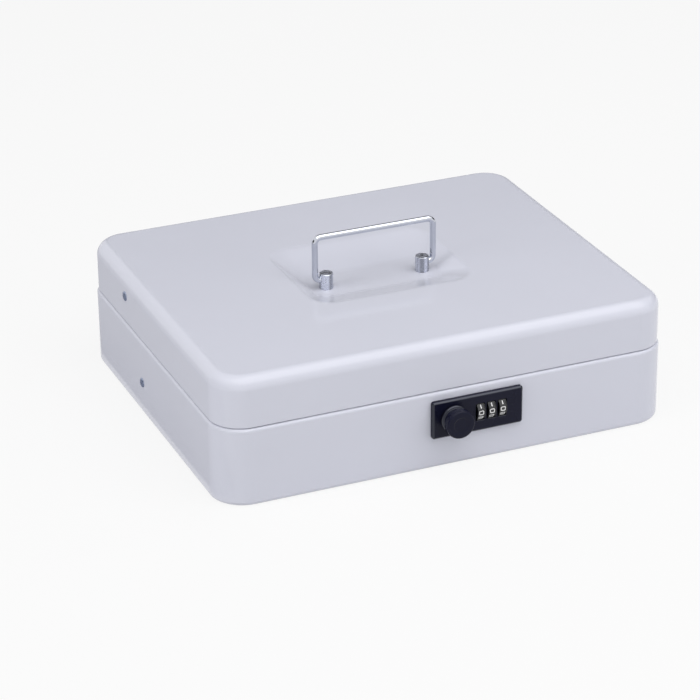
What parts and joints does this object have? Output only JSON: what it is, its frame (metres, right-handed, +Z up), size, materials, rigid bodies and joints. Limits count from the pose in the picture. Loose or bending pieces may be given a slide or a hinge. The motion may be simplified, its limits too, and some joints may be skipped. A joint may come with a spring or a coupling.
{
  "type": "cash box",
  "caption": "White steel cash box with a dished lid, folding wire handle, dial lock on the front and a coin tray that lifts on linkage arms as the lid opens.",
  "frame": {"origin": "centre of the flat bottom the box rests on", "axes": "+X to the right seen from the front, +Y to the back (hinges), +Z up"},
  "size_m": [0.3076, 0.2677, 0.1155],
  "materials": {
    "white_paint": "semi-gloss powder coat",
    "bright_steel": "polished chrome plate",
    "zinc_steel": "zinc-plated steel",
    "black_plastic": "fine-textured black moulding"
  },
  "bodies": {
    "base": {"base_shell": "white_paint", "hinge_base_leaf_left": "white_paint", "hinge_base_leaf_right": "white_paint", "hinge_pin_left": "zinc_steel", "hinge_pin_right": "zinc_steel", "base_rivet_left": "zinc_steel", "base_rivet_right": "zinc_steel", "lock_plate": "black_plastic", "lock_case": "black_plastic", "dial_axle": "zinc_steel", "detent_spring": "zinc_steel", "locking_bar": "zinc_steel", "lock_screw_left": "zinc_steel", "lock_screw_right": "zinc_steel"},
    "lid": {"lid_shell": "white_paint", "hinge_lid_leaf_left": "white_paint", "hinge_lid_leaf_right": "white_paint", "lid_rivet_left": "zinc_steel", "lid_rivet_right": "zinc_steel", "handle_post_left": "zinc_steel", "handle_post_right": "zinc_steel", "post_washer_left": "zinc_steel", "post_washer_right": "zinc_steel", "lid_catch": "zinc_steel"},
    "handle": {"handle_bail": "bright_steel"},
    "tray": {"coin_tray": "black_plastic", "tray_bracket_left": "zinc_steel", "tray_bracket_right": "zinc_steel", "tray_stud_left": "zinc_steel", "tray_stud_right": "zinc_steel", "bracket_rivet_left_front": "zinc_steel", "bracket_rivet_left_rear": "zinc_steel", "bracket_rivet_right_front": "zinc_steel", "bracket_rivet_right_rear": "zinc_steel"},
    "arm_left": {"tray_arm_left": "zinc_steel"},
    "arm_right": {"tray_arm_right": "zinc_steel"},
    "knob_group": {"knob": "black_plastic", "spindle": "zinc_steel", "locking_cam": "zinc_steel", "cam_screw": "zinc_steel"},
    "dial_1": {"dial_wheel_1": "black_plastic", "dial_sleeve_1": "zinc_steel"},
    "dial_2": {"dial_wheel_2": "black_plastic", "dial_sleeve_2": "zinc_steel"},
    "dial_3": {"dial_wheel_3": "black_plastic", "dial_sleeve_3": "zinc_steel"}
  },
  "joints": [
    {"name": "lid_hinge", "type": "hinge", "parent": "base", "child": "lid", "pos_m": [0, 0.1249, 0.052], "axis": [-1, 0, 0], "range_deg": [0, 95]},
    {"name": "tray_on_lid", "type": "hinge", "parent": "lid", "child": "tray", "pos_m": [0, 0.05, 0.07075], "axis": [-1, 0, 0], "range_deg": [-95, 0]},
    {"name": "arm_left_swing", "type": "hinge", "parent": "base", "child": "arm_left", "pos_m": [-0.1468, 0.0189, 0.02285], "axis": [-1, 0, 0], "range_deg": [0, 95]},
    {"name": "arm_right_swing", "type": "hinge", "parent": "base", "child": "arm_right", "pos_m": [0.1468, 0.0189, 0.02285], "axis": [-1, 0, 0], "range_deg": [0, 95]},
    {"name": "handle_swing", "type": "hinge", "parent": "lid", "child": "handle", "pos_m": [0, -0.0046, 0.0837], "axis": [1, 0, 0], "range_deg": [-85, 85]},
    {"name": "knob_turn", "type": "hinge", "parent": "base", "child": "knob_group", "pos_m": [-0.001, -0.125, 0.0345], "axis": [0, -1, 0], "range_deg": [0, 90]},
    {"name": "dial_1_spin", "type": "hinge", "parent": "base", "child": "dial_1", "pos_m": [0.0176, -0.1234, 0.0345], "axis": [1, 0, 0], "continuous": true},
    {"name": "dial_2_spin", "type": "hinge", "parent": "base", "child": "dial_2", "pos_m": [0.025, -0.1234, 0.0345], "axis": [1, 0, 0], "continuous": true},
    {"name": "dial_3_spin", "type": "hinge", "parent": "base", "child": "dial_3", "pos_m": [0.0324, -0.1234, 0.0345], "axis": [1, 0, 0], "continuous": true}
  ],
  "couplings": [
    {"joint": "tray_on_lid", "follows": "lid_hinge", "ratio": -1},
    {"joint": "arm_left_swing", "follows": "lid_hinge", "ratio": 1},
    {"joint": "arm_right_swing", "follows": "lid_hinge", "ratio": 1}
  ]
}
